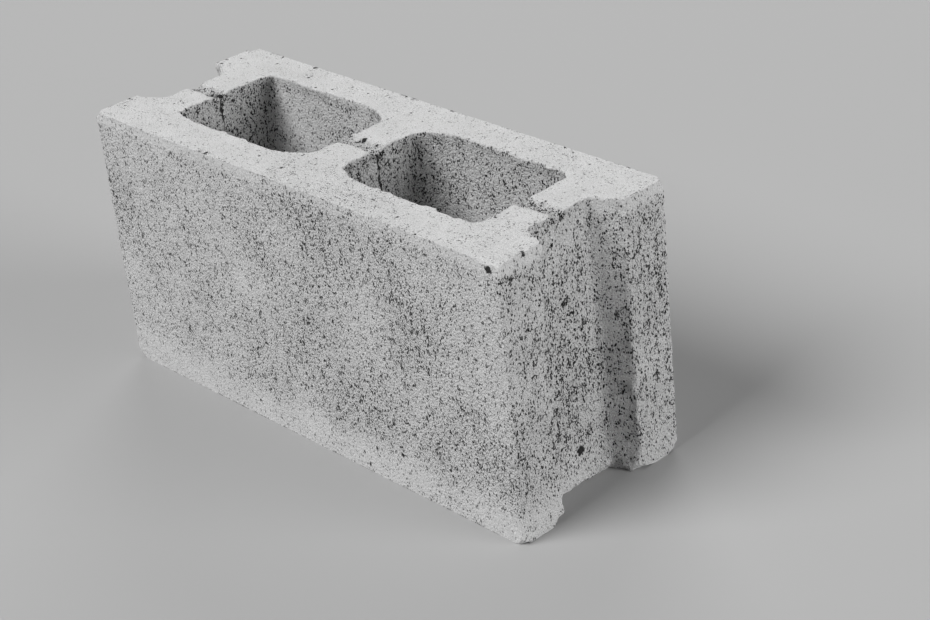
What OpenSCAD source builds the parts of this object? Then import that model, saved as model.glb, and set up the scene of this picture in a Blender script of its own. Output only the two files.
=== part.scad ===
// Hollow two-core concrete block, cast in one piece and standing on its bed face.
// Millimetres, +Z up, length along X, origin at the middle of the bottom bed.

/* [Overall] */
// Length over the end ears
length = 396.9; // [330:0.1:480]
// Width over the two face shells
width = 142.9; // [115:0.1:200]
// Height from bed to bed
height = 193.7; // [90:0.1:240]

/* [Walls, at the top bed] */
// Thickness of the front face shell
front_shell = 29; // [20:0.5:35]
// Thickness of the rear face shell
rear_shell = 25; // [20:0.5:35]
// Thickness of each end web
end_web = 26; // [18:0.5:34]
// Thickness of the middle web where it is straight
middle_web = 28; // [18:0.5:34]
// How much each wall of a core leans in from the top bed to the bottom bed
core_draft = 2.5; // [0:0.1:4]

/* [Cores] */
// Corner radius at the end webs
end_corner = 9; // [2:0.5:14]
// Length of the rounded corner at the middle web, along the block
middle_corner_length = 36; // [10:1:50]
// Width of the rounded corner at the middle web, across the block
middle_corner_width = 18; // [8:1:24]

/* [End recesses] */
// Depth of each recess, from the ear ends to the end web
recess_depth = 22; // [8:0.5:28]
// Width of the recess floor, between its corners taken as sharp
recess_floor = 54; // [30:1:60]
// Width of the recess mouth, between its corners taken as sharp
recess_mouth = 77; // [62:1:90]
// Radius where each slanted side meets the recess floor
floor_round = 10; // [1:0.5:14]
// Radius where each slanted side meets the end of its ear
ear_round = 6; // [1:0.5:8]

/* [Core bar marks] */
// Width of the groove that the core bar leaves across each web
bar_mark_width = 13; // [6:0.5:20]
// Depth of that groove at its middle
bar_mark_depth = 2.5; // [0.5:0.1:5]

/* [Hidden] */
// How far a cut runs past the face that it opens
past = 1;
// Segments in a quarter of a rounded corner
corner_steps = 8;
// Half-length of a core, and its middle along X and Y, at the top bed
core_half_x = (length / 2 - recess_depth - end_web - middle_web / 2) / 2;
core_half_y = (width - front_shell - rear_shell) / 2;
core_x = middle_web / 2 + core_half_x;
core_y = (front_shell - rear_shell) / 2;
// Radius of the bar whose round side leaves the groove
bar_radius = (pow(bar_mark_width / 2, 2) + pow(bar_mark_depth, 2)) / (2 * bar_mark_depth);

// How far a core wall stands in from its place at the top bed, at height z
function lean(z) = core_draft * (height - z) / height;

// Points of one elliptical corner, centred at c, from angle a0 to a0 + 90
function corner(c, rx, ry, a0) =
    [for (i = [0:corner_steps]) let (a = a0 + 90 * i / corner_steps)
        c + [rx * cos(a), ry * sin(a)]];

// Outline of the right-hand core at height z, centred on the core's own middle
function core_outline(z) =
    let (hx = core_half_x - lean(z), hy = core_half_y - lean(z),
         e = end_corner, ml = middle_corner_length, mw = middle_corner_width)
    concat(
        corner([hx - e, hy - e], e, e, 0),
        corner([-hx + ml, hy - mw], ml, mw, 90),
        corner([-hx + ml, -hy + mw], ml, mw, 180),
        corner([hx - e, -hy + e], e, e, 270));

// One core: a tapered cut through both beds
module core() {
    low = -past;
    high = height + past;
    grow = [(core_half_x - lean(high)) / (core_half_x - lean(low)),
            (core_half_y - lean(high)) / (core_half_y - lean(low))];
    translate([core_x, core_y, low])
        linear_extrude(height = high - low, scale = grow, slices = 1)
            polygon(core_outline(low));
}

// Points of the arc of radius r that rounds the corner at b, on the way from a to c
function rounded(a, b, c, r) =
    let (u = (a - b) / norm(a - b), v = (c - b) / norm(c - b),
         half = acos(u * v) / 2,
         centre = b + (u + v) / norm(u + v) * r / sin(half),
         from = b + u * r / tan(half) - centre,
         turn = (2 * half - 180) * sign(cross(u, v)))
    [for (i = [0:corner_steps]) let (t = turn * i / corner_steps)
        centre + [from.x * cos(t) - from.y * sin(t), from.x * sin(t) + from.y * cos(t)]];

// Right-hand end recess: full height, with slanted sides between the floor and the ears
module recess() {
    floor_x = length / 2 - recess_depth;
    floor_low = [floor_x, -recess_floor / 2];
    floor_high = [floor_x, recess_floor / 2];
    ear_low = [length / 2, -recess_mouth / 2];
    ear_high = [length / 2, recess_mouth / 2];
    end_low = [length / 2, -width / 2];
    end_high = [length / 2, width / 2];
    arc_low = rounded(end_low, ear_low, floor_low, ear_round);
    arc_high = rounded(floor_high, ear_high, end_high, ear_round);
    translate([0, 0, -past]) linear_extrude(height = height + 2 * past)
        polygon(concat(
            [arc_low[0] + [past, 0]],
            arc_low,
            rounded(ear_low, floor_low, floor_high, floor_round),
            rounded(floor_low, floor_high, ear_high, floor_round),
            arc_high,
            [arc_high[corner_steps] + [past, 0]]));
}

// The groove of the core bar, along the block over all three webs
module bar_mark() {
    translate([-length / 2 - past, 0, height - bar_mark_depth + bar_radius])
        rotate([0, 90, 0]) cylinder(r = bar_radius, h = length + 2 * past, $fn = 96);
}

module block() {
    color([0.72, 0.72, 0.72])
        difference() {
            translate([-length / 2, -width / 2, 0]) cube([length, width, height]);
            for (side = [0, 1])
                mirror([side, 0, 0]) {
                    core();
                    recess();
                }
            bar_mark();
        }
}

block();
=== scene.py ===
import itertools

import bpy
import numpy as np
from mathutils import Matrix, Vector


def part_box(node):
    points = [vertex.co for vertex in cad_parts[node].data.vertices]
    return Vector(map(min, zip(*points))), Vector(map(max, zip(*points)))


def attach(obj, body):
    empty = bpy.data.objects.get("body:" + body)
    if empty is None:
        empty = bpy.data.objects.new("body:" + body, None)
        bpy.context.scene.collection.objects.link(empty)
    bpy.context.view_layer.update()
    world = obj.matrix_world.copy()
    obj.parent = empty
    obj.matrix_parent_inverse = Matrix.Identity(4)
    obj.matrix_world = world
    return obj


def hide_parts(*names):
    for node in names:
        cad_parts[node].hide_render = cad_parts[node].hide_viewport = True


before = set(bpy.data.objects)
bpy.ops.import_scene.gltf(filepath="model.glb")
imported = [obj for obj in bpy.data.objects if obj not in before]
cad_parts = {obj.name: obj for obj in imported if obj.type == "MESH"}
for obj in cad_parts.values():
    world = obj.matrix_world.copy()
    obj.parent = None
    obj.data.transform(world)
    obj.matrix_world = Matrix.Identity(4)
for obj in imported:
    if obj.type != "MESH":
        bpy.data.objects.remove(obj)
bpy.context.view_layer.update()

# ---------------------------------------------------------------------- the block
# One unit of pressed concrete: two face shells and three webs round two cores, with a
# recess between the ears at each end. It is stamped in a steel mould and stripped from it
# while still damp, so its faces are open-textured and its arrises crumble.

mm = 0.001
block_low, block_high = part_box("block")
length, width, height = block_high - block_low
end_x, side_y = length / 2, width / 2

# The plan at the top bed, as in the CAD model
front_shell, rear_shell = 29 * mm, 25 * mm
end_web, middle_web = 26 * mm, 28 * mm
draft = 2.5 * mm
recess_depth = 22 * mm
floor_half, mouth_half = 27 * mm, 38.5 * mm
floor_round, ear_round = 10 * mm, 6 * mm
arris_round = 3.5 * mm
end_corner = np.array([9 * mm, 9 * mm])
middle_corner = np.array([36 * mm, 18 * mm])
core_half = np.array([(end_x - recess_depth - end_web - middle_web / 2) / 2,
                      side_y - (front_shell + rear_shell) / 2])
core_mid = np.array([middle_web / 2 + core_half[0], (front_shell - rear_shell) / 2])


def arc(centre, radii, start, end, steps=16):
    """Points of an elliptical arc: the centre, plus the radii times the cosine and sine of
    an angle that runs from start to end in degrees."""
    angle = np.radians(np.linspace(start, end, steps + 1))[:, None]
    return centre + radii * np.hstack([np.cos(angle), np.sin(angle)])


def rounded(before, corner, after, radius):
    """Points of the arc that rounds a corner of a path: its centre is on the corner's
    bisector, and it starts and ends where it touches the path's two sides."""
    before, corner, after = map(np.array, (before, corner, after))
    u = (before - corner) / np.linalg.norm(before - corner)
    v = (after - corner) / np.linalg.norm(after - corner)
    half = np.arccos(u @ v) / 2
    centre = corner + (u + v) / np.linalg.norm(u + v) * radius / np.sin(half)
    first = corner + u * radius / np.tan(half) - centre
    sweep = (2 * half - np.pi) * np.sign(u[0] * v[1] - u[1] * v[0])
    start = np.degrees(np.arctan2(first[1], first[0]))
    return arc(centre, radius, start, start + np.degrees(sweep))


def along(path):
    """Distance along a path of points, from its first point to each of them."""
    return np.concatenate([[0], np.cumsum(np.linalg.norm(np.diff(path, axis=0), axis=1))])


def at(path, distance):
    """Points of a path at the given distances along it, by straight interpolation."""
    s = along(path)
    return np.stack([np.interp(distance, s, path[:, 0]), np.interp(distance, s, path[:, 1])], 1)


search_steps = 4000


def nearest(path, point):
    """Distance along a path to the place on it that is nearest to a point."""
    s = np.linspace(0, along(path)[-1], search_steps)
    return s[np.argmin(np.linalg.norm(at(path, s) - point, axis=1))]


# Outer outline of the right-hand half, from the middle of the front face round the end
# recess to the middle of the rear face
floor_x = end_x - recess_depth
front_points = [(0, -side_y), (end_x, -side_y), (end_x, -mouth_half), (floor_x, -floor_half)]
rear_points = [(x, -y) for x, y in reversed(front_points)]
bends = front_points + rear_points
radii = [arris_round, ear_round, floor_round, floor_round, ear_round, arris_round]
outer_path = np.vstack([[bends[0]]]
                       + [rounded(*bends[i:i + 3], r) for i, r in enumerate(radii)]
                       + [[bends[-1]]])

# Outline of the right-hand core, from the middle of its rounded corner at the front of the
# middle web, along the front shell and round to the same corner again
hx, hy = core_half
ex, ey = end_corner
mx, my = middle_corner
core_path = np.vstack([
    arc(core_mid + (mx - hx, my - hy), middle_corner, 225, 270),
    arc(core_mid + (hx - ex, ey - hy), end_corner, 270, 360),
    arc(core_mid + (hx - ex, hy - ey), end_corner, 0, 90),
    arc(core_mid + (mx - hx, hy - my), middle_corner, 90, 180),
    arc(core_mid + (mx - hx, my - hy), middle_corner, 180, 225)])

# Columns of the mesh stand closer together towards the upright arrises
column_step, row_step = 2.15 * mm, 2.7 * mm
arris_reach = 7 * mm
fine_steps = 6000
arris_s = [nearest(outer_path, (end_x, -side_y)), nearest(outer_path, (end_x, side_y))]
ear_s = [nearest(outer_path, (end_x, -mouth_half)), nearest(outer_path, (end_x, mouth_half))]


def graded(low, high, close, step, extra):
    """Places from low to high about a step apart, and up to 1 + extra times as close
    together near the places in close: they divide evenly the integral of 1 plus extra times
    a bell curve round each of those."""
    s = np.linspace(low, high, fine_steps)
    pull = sum(np.exp(-((s - c) / arris_reach) ** 2) for c in close)
    weight = np.concatenate([[0], np.cumsum((1 + extra * pull)[1:] * np.diff(s))])
    count = int(round(weight[-1] / step)) + 1
    return np.interp(np.linspace(0, weight[-1], count), weight, s)


wall_s = graded(0, along(outer_path)[-1], arris_s + ear_s, column_step, 0.9)
middle_y = np.linspace(side_y, -side_y, int(width / (column_step * 1.1)))[1:-1]
n_wall, n_middle = len(wall_s), len(middle_y)
outer_xy = np.vstack([at(outer_path, wall_s), np.stack([0 * middle_y, middle_y], 1)])

# Each column's foot on the core: landmarks of the outer outline are paired with places on
# the core's outline, and the columns between them are spread evenly. The last stretch of
# the shells leads to the core's corner, and the ears and the recess to the end web.
shell_stretch = 25 * mm
in_corner, beside_ear, beside_floor = 2.6 * mm, 12 * mm, 20 * mm
pairs = [((0, -side_y), core_path[0]),
         ((core_mid[0] - hx + mx, -side_y), core_mid + (mx - hx, -hy)),
         ((core_mid[0] + hx - shell_stretch, -side_y), core_mid + (hx - shell_stretch, -hy)),
         ((end_x, -side_y), core_mid + (hx - in_corner, in_corner - hy)),
         ((end_x, -mouth_half), core_mid + (hx, beside_ear - hy)),
         ((floor_x, -floor_half), core_mid + (hx, beside_floor - hy)),
         ((floor_x, floor_half), core_mid + (hx, hy - beside_floor)),
         ((end_x, mouth_half), core_mid + (hx, hy - beside_ear)),
         ((end_x, side_y), core_mid + (hx - in_corner, hy - in_corner)),
         ((core_mid[0] + hx - shell_stretch, side_y), core_mid + (hx - shell_stretch, hy)),
         ((core_mid[0] - hx + mx, side_y), core_mid + (mx - hx, hy)),
         ((0, side_y), core_mid + (mx - hx, hy - my) + middle_corner * (-1, 1) / np.sqrt(2))]
wall_foot = np.interp(wall_s, [nearest(outer_path, p) for p, _ in pairs],
                      [nearest(core_path, q) for _, q in pairs])
middle_foot = np.interp(-middle_y, [-side_y, side_y], [wall_foot[-1], along(core_path)[-1]])
foot_s = np.concatenate([wall_foot, middle_foot])
core_xy = at(core_path, foot_s)


normal_reach = 0.4 * mm


def inward(path, s, turn):
    """Unit normals of a path at distances s along it: its direction turned left for
    turn = 1 and right for turn = -1. The outer outline's left and the core outline's right
    point into the concrete."""
    end = along(path)[-1]
    d = (at(path, np.minimum(s + normal_reach, end))
         - at(path, np.maximum(s - normal_reach, 0)))
    d /= np.linalg.norm(d, axis=1)[:, None]
    return turn * np.stack([-d[:, 1], d[:, 0]], 1)


core_in = inward(core_path, foot_s, -1)
outer_in = np.vstack([inward(outer_path, wall_s, 1), np.zeros((n_middle, 2))])


def noise(points, size, seed):
    """Smooth noise from -1 to 1: random values on a cubic lattice with cells of the given
    size, blended between the eight corners round each point by 3t^2 - 2t^3. The lattice
    repeats after span cells."""
    span = 64
    values = np.random.default_rng(seed).uniform(-1, 1, (span,) * 3)
    place = np.asarray(points) / size
    cell = np.floor(place).astype(int)
    t = place - cell
    t = t * t * (3 - 2 * t)
    total = np.zeros(place.shape[:-1])
    for corner in itertools.product((0, 1), repeat=3):
        share = np.prod(np.abs(1 - np.array(corner) - t), axis=-1)
        i = (cell + corner) % span
        total += share * values[i[..., 0], i[..., 1], i[..., 2]]
    return total


def step_up(x, low, high):
    """0 below low, 1 above high and a smooth rise between, by 3t^2 - 2t^3."""
    t = np.clip((x - low) / (high - low), 0, 1)
    return t * t * (3 - 2 * t)


# Rows of the mesh, round the section of a wall: up the core, over the top bed, down the
# outer face and back under the bottom bed
core_rows, top_rows, bottom_rows = (np.linspace(0, 1, count) for count in (40, 14, 9))
outer_rows = graded(0, height, [0, height], row_step, 0.8) / height
turn_rows = np.radians(np.linspace(0, 90, 6))


usual_radius, least_radius, most_radius = 1.5 * mm, 0.5 * mm, 3.6 * mm


def worn_radius(xy, z, side, seed, ragged):
    """Radius of the worn arris beside each column: the usual one times one plus slow noise
    over 15 mm and the ragged share of quick noise over 3.2 mm, held between its limits."""
    points = np.column_stack([xy * (side, 1), np.full(len(xy), z)])
    swing = 0.45 * noise(points, 15 * mm, seed) + ragged * noise(points, 3.2 * mm, seed + 1)
    return np.clip(usual_radius * (1 + swing), least_radius, most_radius)


# The four arrises: outline, height, plan, seed of the noise, ragged share and a factor on
# the radius, which keeps the outer top arris the crispest
arrises = [("core", height, core_xy, 11, 0.8, 1.0), ("outer", height, outer_xy, 21, 0.5, 0.7),
           ("core", 0.0, core_xy, 31, 0.5, 1.0), ("outer", 0.0, outer_xy, 41, 1.3, 1.0)]


def half_block(side):
    """Grid of points over one half of the block, rows by columns: side is 1 for the
    right-hand half and -1 for the left. Each column runs once round the wall's section, and
    turns each arris on a quarter circle of the worn radius there."""
    radius = {(edge, z): factor * worn_radius(xy, z, side, seed, ragged)
              for edge, z, xy, seed, ragged, factor in arrises}
    corner = core_half - np.where(core_xy[:, :1] < core_mid[0], middle_corner, end_corner)
    lean_to = np.clip((core_xy - core_mid) / corner, -1, 1)

    def core_at(z):
        return core_xy - lean_to * (draft * (height - z) / height)[:, None]

    def wall_turn(edge, z_bed, angle):
        """Points of an arris at one angle of its turn, 0 on the wall and 90 on the bed."""
        r = radius[edge, z_bed]
        down = -1 if z_bed else 1
        z = z_bed + down * r * (1 - np.sin(angle))
        foot, into = (core_at(z), core_in) if edge == "core" else (outer_xy, outer_in)
        return np.column_stack([foot + into * (r * (1 - np.cos(angle)))[:, None], z])

    def blend(a, b, shares):
        """Rows on the straight lines from row a to row b."""
        return [a + (b - a) * t for t in shares]

    core_top = [wall_turn("core", height, a) for a in turn_rows]
    outer_top = [wall_turn("outer", height, a) for a in turn_rows[::-1]]
    outer_bottom = [wall_turn("outer", 0.0, a) for a in turn_rows]
    core_bottom = [wall_turn("core", 0.0, a) for a in turn_rows[::-1]]
    rows = (blend(core_bottom[-1], core_top[0], core_rows)
            + core_top[1:-1]
            + blend(core_top[-1], outer_top[0], top_rows)
            + outer_top[1:-1]
            + blend(outer_top[-1], outer_bottom[0], 1 - outer_rows[::-1])
            + outer_bottom[1:-1]
            + blend(outer_bottom[-1], core_bottom[0], bottom_rows)
            + core_bottom[1:-1])
    grid = np.stack(rows)
    grid[..., 0] *= side
    return grid


# Row bed_end ends the top bed, and under_start begins the bottom bed. The two halves share
# their points on the middle plane, whose columns have beds but no outer face.
n_turn = len(turn_rows) - 2
bed_end = len(core_rows) + n_turn + len(top_rows) - 1
under_start = bed_end + 2 * n_turn + len(outer_rows) + 1
halves = [half_block(1), half_block(-1)]
n_rows, n_columns = halves[0].shape[:2]
row, column = np.meshgrid(np.arange(n_rows), np.arange(n_columns), indexing="ij")
open_face = (row >= bed_end) & (row < under_start) & (column >= n_wall - 1)
next_row, next_column = (row + 1) % n_rows, (column + 1) % n_columns
grid_faces = np.stack([row * n_columns + column, row * n_columns + next_column,
                       next_row * n_columns + next_column, next_row * n_columns + column], -1)
grid_faces = grid_faces[~open_face]
shared = np.abs(halves[0][..., 0].ravel()) < 1e-9
left_index = np.where(shared, np.arange(shared.size), np.arange(shared.size) + shared.size)
faces = np.vstack([grid_faces, left_index[grid_faces[:, ::-1]]])
points = np.vstack([h.reshape(-1, 3) for h in halves])
used, faces = np.unique(faces, return_inverse=True)
faces = faces.reshape(-1, 4)
points = points[used]


def normals_of(points, faces):
    """Unit normal at each point: the sum of its faces' normals, each weighted by the
    face's area, which is the cross product of its diagonals."""
    a, b, c, d = (points[faces[:, k]] for k in range(4))
    face_normal = np.cross(c - a, d - b)
    total = np.stack([np.bincount(faces.ravel(), np.repeat(face_normal[:, k], 4), len(points))
                      for k in range(3)], 1)
    return total / np.linalg.norm(total, axis=1)[:, None]


normals = normals_of(points, faces)
flat_row = np.tile(row.ravel(), 2)[used]
flat_column = np.tile(column.ravel(), 2)[used]
x, y, z = points.T

# How near each point is to a worn arris, 1 on it and 0 from about 10 mm away, by a bell
# curve. The beds themselves stay flat.
bell, bed_edge = 4 * mm, 0.8 * mm
bed_distance = np.minimum(z, height - z)
on_core = flat_row < len(core_rows)
on_outer = (flat_row > bed_end + n_turn) & (flat_row < under_start - n_turn)
on_bed = ~on_core & ~on_outer
near_bed = np.exp(-(bed_distance / bell) ** 2) * np.clip(bed_distance / bed_edge, 0, 1)
s_here = np.append(wall_s, np.full(n_middle, np.inf))[flat_column]
near_upright = sum(np.exp(-((s_here - s) / bell) ** 2) for s in arris_s + ear_s) * on_outer
arris = np.clip(near_bed + near_upright, 0, 1)

# The core bar drags a torn band over the top of every web
mark_depth, mark_half = 2.6 * mm, 6.5 * mm
mark_foot, mark_full = height - 9 * mm, height - 1.5 * mm
wander = 1.6 * mm * noise(points * (1, 0, 0), 11 * mm, 51)
reach = mark_half * (1 + 0.3 * noise(points, 7 * mm, 52))
in_mark = 1 - step_up(np.abs(y - wander), 0.6 * reach, 1.15 * reach)
in_mark *= step_up(z, mark_foot, mark_full)
torn = in_mark * (mark_depth * (1 + 0.25 * noise(points, 9 * mm, 53))
                  + 1.2 * mm * noise(points, 3.2 * mm, 54))

# Slow waves and fine roughness of the faces, always into the concrete. The arrises crumble
# as well: the outer bottom one most, and the outer top one least.
foot_reach, brow_reach = 8 * mm, 12 * mm
wave = 0.25 * mm * (1 + noise(points, 45 * mm, 61))
rough = (0.16 * mm * (1 + noise(points, 6 * mm, 62))
         + 0.14 * mm * (1 + noise(points, 2.8 * mm, 63)))
rough = rough * np.where(on_bed, 0.6, 1.0)
at_foot = (flat_row > bed_end) & (flat_row < under_start) & (z < foot_reach)
at_brow = (flat_row >= bed_end) & (z > height - brow_reach)
crumbly = np.select([at_brow, at_foot], [0.5, 2.4], 1.4)
crumble = arris * (0.45 * mm * crumbly * (1 + noise(points, 2.6 * mm, 64))
                   + 0.35 * mm * np.minimum(crumbly, 1) * (1 + noise(points, 7 * mm, 65)))
points = points - normals * (wave + rough + crumble)[:, None]
points[:, 2] -= np.maximum(torn, 0)


def chip(points, tip, out, radius, depth, seed):
    """Breaks a shallow bowl out of an arris or a corner. Points that stand above the bowl
    move straight down onto it, against the direction out. The bowl lies below the tip by
    its depth times one minus the square of the distance from its middle over its radius,
    and noise roughens it."""
    near = np.flatnonzero(np.linalg.norm(points - tip, axis=1) < 1.3 * radius + depth)
    offset = points[near] - tip
    rise = offset @ out
    flat = offset - rise[:, None] * out
    share = 1 - (np.linalg.norm(flat, axis=1) / radius) ** 2
    bowl = depth * share * (0.3 * noise(tip + flat, 2.6 * mm, seed) - 1)
    above = (share > 0) & (rise > bowl)
    points[near[above]] -= out * (rise - bowl)[above, None]


# Small chips at random along every arris, larger by a factor below the chipped height
random = np.random.default_rng(7)
arris_points = np.flatnonzero(arris > 0.9)
chip_count, foot_factor, chipped_height = 640, 1.6, 10 * mm
for number in range(chip_count):
    pick = random.choice(arris_points)
    worn = foot_factor if z[pick] < chipped_height else 1.0
    chip(points, points[pick], normals[pick], worn * random.uniform(2, 5.5) * mm,
         worn * random.uniform(0.3, 1.1) * mm, 1000 + number)

# The knocked corners: place, outward direction, radius of the break and its depth in mm
knocks = [((end_x, -side_y, 0), (1, -1, -1), 14, 3.2),
          ((end_x, -mouth_half, 0), (1, 0.6, -1), 12, 3.5),
          ((end_x, mouth_half, 0), (1, -0.6, -1), 10, 2.5),
          ((-end_x, -side_y, 0), (-1, -1, -1), 20, 4.5),
          ((end_x, side_y, 0), (1, 1, -1), 18, 4.0),
          ((-end_x, side_y, 0), (-1, 1, -1), 18, 4.5),
          ((end_x, -side_y, height), (1, -1, 1), 7, 1.8),
          ((end_x - 11 * mm, -side_y, height), (0, -1, 1), 6, 1.6),
          ((-end_x, -side_y, height), (-1, -1, 1), 12, 2.5),
          ((end_x, side_y, height), (1, 1, 1), 12, 2.5),
          ((-end_x, side_y, height), (-1, 1, 1), 12, 3.0)]
for number, (corner, out, radius, depth) in enumerate(knocks):
    out = np.array(out) / np.linalg.norm(out)
    chip(points, np.array(corner), out, radius * mm, depth * mm, 500 + number)

least_facing = 0.25


def unfolded(points, faces, rounds):
    """Smooths folds away. Each face is split into a triangle at each of its corners, and
    each triangle's normal is dotted with the normals at its own corners. In each round, a
    point whose least dot product is too small moves to the mean of its faces' corners."""
    count = np.bincount(faces.ravel(), minlength=len(points))[:, None] * 4
    for _ in range(rounds):
        normal = normals_of(points, faces)
        facing = np.ones(len(points))
        for i in range(4):
            a, b, c = (points[faces[:, (i + k) % 4]] for k in (3, 0, 1))
            side = np.cross(c - b, a - b)
            side /= np.maximum(np.linalg.norm(side, axis=1), 1e-12)[:, None]
            for k in (3, 0, 1):
                corner = faces[:, (i + k) % 4]
                np.minimum.at(facing, corner, np.sum(side * normal[corner], axis=1))
        around = points[faces].sum(axis=1)
        middle = np.stack([np.bincount(faces.ravel(), np.repeat(around[:, k], 4), len(points))
                           for k in range(3)], 1) / count
        points = np.where(facing[:, None] < least_facing, middle, points)
    return points


points = np.clip(unfolded(points, faces, rounds=8), block_low, block_high)

mesh = bpy.data.meshes.new("concrete_block")
mesh.from_pydata(points, [], faces.tolist())
mesh.update()
mesh.shade_smooth()
block = bpy.data.objects.new("concrete_block", mesh)
bpy.context.scene.collection.objects.link(block)

# How open the texture is: -1 where the paste closed over, 0 on a plain face and 1 where the
# stripping mould tore it. The beds are closed, the ends and the webs' sides in the cores are
# open, and the faces open towards the right-hand end.
margin = 2 * mm
at_end = on_outer & (np.abs(x) > floor_x - margin) & (np.abs(y) < side_y - margin)
on_face = on_outer & ~at_end
in_recess = at_end & (np.abs(y) < floor_half)
on_ear = at_end & (np.abs(y) > floor_half)
on_slope = on_ear & (np.abs(y) < mouth_half)
on_rear_ear = at_end & (y > mouth_half)
core_open = on_core * (np.abs(normals[:, 0]) - 0.1 - 0.2 * (x < 0))
# The recess floor is a little more open: partly its denser texture and partly painted shade in
# the recess
end_open = 0.54 * at_end + 0.06 * in_recess - 0.1 * on_slope
bed_open = on_bed * (0.4 * (y < 0) - 1.4)
rightwards = step_up(x, -80 * mm, 80 * mm) * (0.28 * on_face + 0.3 * on_bed)
openness = core_open + end_open + bed_open + rightwards - 0.2 * on_face

# The texture also closes towards the foot of each wall, and in a band at its top
closed_foot = np.where(on_rear_ear, 0.25, 0.9) * ~on_bed * (1 - step_up(z, 12 * mm, 38 * mm))
closed_brow = (0.65 * on_face * step_up(z, height - 9 * mm, height - 5 * mm)
               + 1.1 * on_ear * step_up(z, height - 13 * mm, height - 6 * mm))
patches = 0.4 * noise(points, 26 * mm, 71) + 0.3 * noise(points, 60 * mm, 72)
openness = openness - closed_foot - closed_brow + patches
most_open = 1.5
openness = np.clip(openness + 2.0 * in_mark, -most_open, most_open)

# Where the core bar stood in the left-hand wall of each core, the webs closed over it along
# a seam, which stays open for some way down
right_core_wall, left_core_wall = middle_web / 2, recess_depth + end_web - end_x
wall_reach = 4 * mm
from_wall = np.minimum(np.abs(x - right_core_wall), np.abs(x - left_core_wall))
seam_end, seam_full = np.where(x > 0, [[148 * mm], [160 * mm]], [[160 * mm], [176 * mm]])
seam = (on_core & (from_wall < wall_reach)) * step_up(z, seam_end, seam_full)
for name, values in (("openness", openness), ("seam", seam)):
    attribute = mesh.attributes.new(name, "FLOAT", "POINT")
    attribute.data.foreach_set("value", values.astype(np.float32))


class Wire:
    """An output socket of a material's nodes. Its operators add the Math node they name,
    and node() adds any other node to the same material."""

    def __init__(self, tree, socket=None):
        self.tree, self.socket = tree, socket

    def node(self, kind, settings, values, output=0):
        """Adds a node of a kind, gives it its settings, then its sockets' values or links,
        and returns the wire of one of its outputs."""
        made = self.tree.nodes.new(kind)
        for name, value in settings.items():
            setattr(made, name, value)
        for name, value in values.items():
            if isinstance(value, Wire):
                self.tree.links.new(value.socket, made.inputs[name])
            else:
                made.inputs[name].default_value = value
        return Wire(self.tree, made.outputs[output] if made.outputs else None)

    def beside(self, output):
        """Another output of the node that this wire leaves."""
        return Wire(self.tree, self.socket.node.outputs[output])

    def maths(self, operation, a, b):
        return self.node("ShaderNodeMath", {"operation": operation}, {0: a, 1: b})

    def __add__(self, other):
        return self.maths("ADD", self, other)

    def __sub__(self, other):
        return self.maths("SUBTRACT", self, other)

    def __rsub__(self, other):
        return self.maths("SUBTRACT", other, self)

    def __mul__(self, other):
        return self.maths("MULTIPLY", self, other)

    __radd__, __rmul__ = __add__, __mul__


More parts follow.
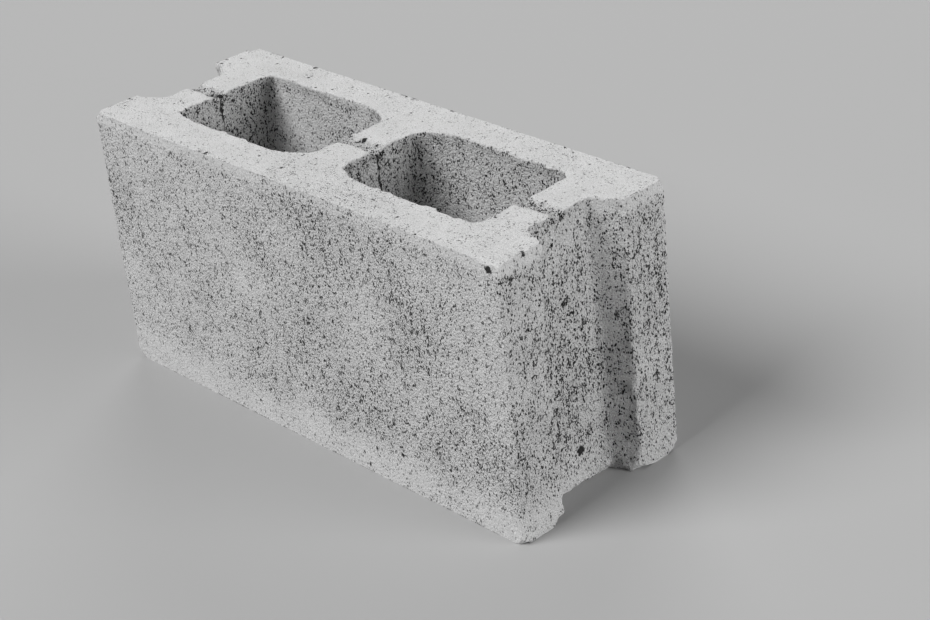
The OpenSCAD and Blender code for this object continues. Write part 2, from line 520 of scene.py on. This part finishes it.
def concrete():
    """Pressed concrete: grey paste round grains of sand. It has pits, one to a cell, and
    gaps where a point is far from the middle of every grain. Both grow where the texture is
    open, and each takes painted shade in the colour, the darker the deeper it goes. Where
    they meet, the light that the painted shade leaves is the product of what each leaves."""
    material = bpy.data.materials.new("pressed_concrete")
    material.use_nodes = True
    material.node_tree.nodes.clear()
    start = Wire(material.node_tree)
    place = start.node("ShaderNodeTexCoord", {}, {}, "Object")
    openness = start.node("ShaderNodeAttribute", {"attribute_name": "openness"}, {}, "Fac")

    def cloud(size, detail, roughness, spread, where=place):
        """Noise of a given feature size, with mean 0 and about the given spread: the node's
        own spread is 0.13 in one octave, and less the more octaves it averages."""
        fac = start.node("ShaderNodeTexNoise", {},
                         {"Vector": where, "Scale": 1 / size, "Detail": detail,
                          "Roughness": roughness}, "Fac")
        shares = roughness ** np.arange(detail + 1)
        usual = 0.13 * np.sqrt(np.sum(shares ** 2)) / np.sum(shares)
        return (fac - 0.5) * (spread / usual)

    # The cells are drawn out upwards, and noise in three directions breaks their outlines
    upright = start.node("ShaderNodeVectorMath", {"operation": "MULTIPLY"},
                         {0: place, 1: (1, 1, 0.6)})
    wander = start.node("ShaderNodeTexNoise", {},
                        {"Vector": place, "Scale": 1 / (1.3 * mm), "Detail": 1.0}, "Color")
    ragged = start.node("ShaderNodeVectorMath", {"operation": "MULTIPLY_ADD"},
                        {0: wander, 1: (1.0 * mm,) * 3, 2: upright})

    def cells(spacing):
        """Distance from the middle of the cell round each point, in parts of the spacing."""
        return start.node("ShaderNodeTexVoronoi", {"feature": "F1"},
                          {"Vector": ragged, "Scale": 1 / spacing}, "Distance")

    # The most painted shade a pit takes, and how quickly that shade grows with its depth
    most_painted_shade, sharpness = 0.93, 11.0

    def deep(depth):
        """A pit's painted shade from its depth: none below 0, and never quite black."""
        return start.maths("MINIMUM", start.maths("MAXIMUM", depth, 0.0), most_painted_shade)

    def pits(middle, reach, spread, steepness):
        """Pits, one to a cell: how far the cell's reach stands above the distance from its
        middle, times the steepness. Each cell's own lot, squared, adds up to the spread to
        its reach."""
        lot = start.node("ShaderNodeSeparateColor", {}, {"Color": middle.beside("Color")}, "Red")
        return deep((lot * lot * spread + reach - middle) * steepness)

    # Pits gather in clods, and on open faces in upright streaks as well
    drawn = start.node("ShaderNodeVectorMath", {"operation": "MULTIPLY"},
                       {0: place, 1: (1, 1, 0.12)})
    streak = cloud(2.2 * mm, 1, 0.5, 0.07, drawn) * start.maths("MAXIMUM", openness, 0.0)
    clods = cloud(6 * mm, 2, 0.6, 0.055) + streak
    hollow, grain = cells(1.25 * mm), cells(0.9 * mm)
    coarse_pit = pits(hollow, 0.08 * openness + clods + 0.10, 0.42, sharpness)
    gap = deep((grain + 0.17 * openness + clods - 0.80) * sharpness)

    def rising(low, high, least):
        """The least at openness low, 1 at high and a straight rise between."""
        return start.node("ShaderNodeMapRange", {}, {"Value": openness, "From Min": low,
                                                     "From Max": high, "To Min": least})

    large_pit = pits(cells(4.5 * mm), clods - 0.14, 0.40, 6.0)
    pit = (coarse_pit + gap - coarse_pit * gap) * rising(-1.3, 0.0, 0.6)
    pit = start.maths("MAXIMUM", pit, large_pit)

    # The seams run along the middle of the block's width, and wander a little
    across = start.node("ShaderNodeSeparateXYZ", {}, {"Vector": place}, "Y")
    aside = start.maths("ABSOLUTE", across + cloud(6 * mm, 2, 0.6, 0.6 * mm), 0.0)
    aside = aside + cloud(3 * mm, 1, 0.5, 0.4 * mm)
    seam = start.node("ShaderNodeAttribute", {"attribute_name": "seam"}, {}, "Fac")
    seam = seam * start.node("ShaderNodeMapRange", {"interpolation_type": "SMOOTHSTEP"},
                             {"Value": aside, "From Min": 0.5 * mm, "From Max": 1.3 * mm,
                              "To Min": 0.95, "To Max": 0.0})
    # The open seam is painted dark like a pit: painted shade for the shade inside its crack
    pit = start.maths("MAXIMUM", pit, seam)

    # The holes that stand out, each painted dark with the shade inside it: place and radius in
    # mm
    holes = [((190.7, -71.4, 188.9), 2.6), ((197.8, -50.3, 192.4), 1.8),
             ((177.1, 4.3, 23.7), 3.3), ((92.3, -71.4, 25.5), 1.6),
             ((-6.3, 2.6, 191.6), 2.1), ((-2.8, 5.6, 193.0), 2.1), ((12.0, 4.5, 192.8), 1.5),
             ((-155.6, -2.2, 191.7), 1.9), ((-150.2, 0.4, 191.2), 2.3)]
    brim = cloud(2 * mm, 2, 0.6, 0.35 * mm)
    for middle, radius in holes:
        far = start.node("ShaderNodeVectorMath", {"operation": "DISTANCE"},
                         {0: place, 1: [part * mm for part in middle]}, "Value")
        hole = start.node("ShaderNodeMapRange", {"interpolation_type": "SMOOTHSTEP"},
                          {"Value": far + brim, "From Min": (radius - 0.5) * mm,
                           "From Max": (radius + 0.3) * mm, "To Min": 0.96, "To Max": 0.0})
        pit = start.maths("MAXIMUM", pit, hole)

    # Neutral grey paste, with a relief of grains that is stronger where the texture is open
    tone = 0.55 + cloud(0.8 * mm, 2, 0.6, 0.045) + cloud(22 * mm, 3, 0.6, 0.010)
    # The pits, gaps, seams and holes darken the paste with painted shade, standing in for the
    # shade that falls into them
    tone = tone * (1 - pit)
    colour = start.node("ShaderNodeCombineColor", {}, {"Red": tone, "Green": tone, "Blue": tone})
    grit = cloud(1.6 * mm, 2, 0.6, 0.12) - grain * 0.6
    relief = grit * (1.6 * rising(-0.9, 1.1, 0.25)) - pit
    normal = start.node("ShaderNodeBump", {},
                        {"Height": relief, "Strength": 1.0, "Distance": 1.2 * mm}, "Normal")
    shader = start.node("ShaderNodeBsdfPrincipled", {},
                        {"Base Color": colour, "Roughness": 0.92, "Normal": normal,
                         "Specular IOR Level": 0.25}, "BSDF")
    start.node("ShaderNodeOutputMaterial", {}, {"Surface": shader})
    return material


mesh.materials.append(concrete())
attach(block, "root")
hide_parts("block")

# ---------------------------------------------------------------------- the floor
# A plain pale studio floor, level with the block's bottom bed and wide enough to fill the
# view from every side.

floor_half_width = 40.0
floor_tone = 0.38
floor_mesh = bpy.data.meshes.new("floor")
floor_corners = [(-1, -1), (1, -1), (1, 1), (-1, 1)]
floor_mesh.from_pydata([(a * floor_half_width, b * floor_half_width, block_low.z)
                        for a, b in floor_corners], [], [(0, 1, 2, 3)])
floor = bpy.data.objects.new("floor", floor_mesh)
bpy.context.scene.collection.objects.link(floor)
floor_paint = bpy.data.materials.new("floor_paint")
floor_paint.use_nodes = True
floor_shader = floor_paint.node_tree.nodes["Principled BSDF"]
floor_shader.inputs["Base Color"].default_value = (floor_tone, floor_tone, floor_tone, 1)
floor_shader.inputs["Roughness"].default_value = 0.9
floor_mesh.materials.append(floor_paint)

# ---------------------------------------------------------------------- the light
# Soft studio light from three wide suns: the key high at the front and a little to the left,
# the fill low beyond the right-hand end and a little behind, and a weak one from the rear
# left. A faint sky lightens the shade.

sun_width = np.radians(35)


def soft_light(name, direction, strength):
    """A wide sun that shines from a direction."""
    lamp = bpy.data.lights.new(name, "SUN")
    lamp.angle, lamp.energy = sun_width, strength
    holder = bpy.data.objects.new(name, lamp)
    holder.rotation_euler = Vector(direction).to_track_quat("Z", "Y").to_euler()
    bpy.context.scene.collection.objects.link(holder)


soft_light("key", (-0.3, -0.93, 1.03), 3.28)
soft_light("fill", (1.0, 0.36, 0.31), 2.30)
soft_light("back", (-0.8, 0.9, 0.5), 1.15)
world = bpy.data.worlds.new("sky")
world.use_nodes = True
sky = world.node_tree.nodes["Background"]
sky.inputs["Color"].default_value = (1, 1, 1, 1)
sky.inputs["Strength"].default_value = 0.08
bpy.context.scene.world = world
bpy.context.scene.view_settings.view_transform = "Standard"

# ---------------------------------------------------------------------- the camera
# A long lens that looks down on the front face and the right-hand end, tilted a little to
# its left.

aim = Vector((0.0474, 0.0331, 0.0707))
azimuth, elevation, roll = np.radians((48.87, 28.02, -6.02))
distance = 1.432
back = Vector((np.sin(azimuth) * np.cos(elevation), -np.cos(azimuth) * np.cos(elevation),
               np.sin(elevation)))
lens = bpy.data.cameras.new("camera")
lens.sensor_width, lens.lens = 36, 82.47
camera = bpy.data.objects.new("camera", lens)
camera.matrix_world = (Matrix.Translation(aim + back * distance)
                       @ back.to_track_quat("Z", "Y").to_matrix().to_4x4()
                       @ Matrix.Rotation(roll, 4, "Z"))
bpy.context.scene.collection.objects.link(camera)
bpy.context.scene.camera = camera
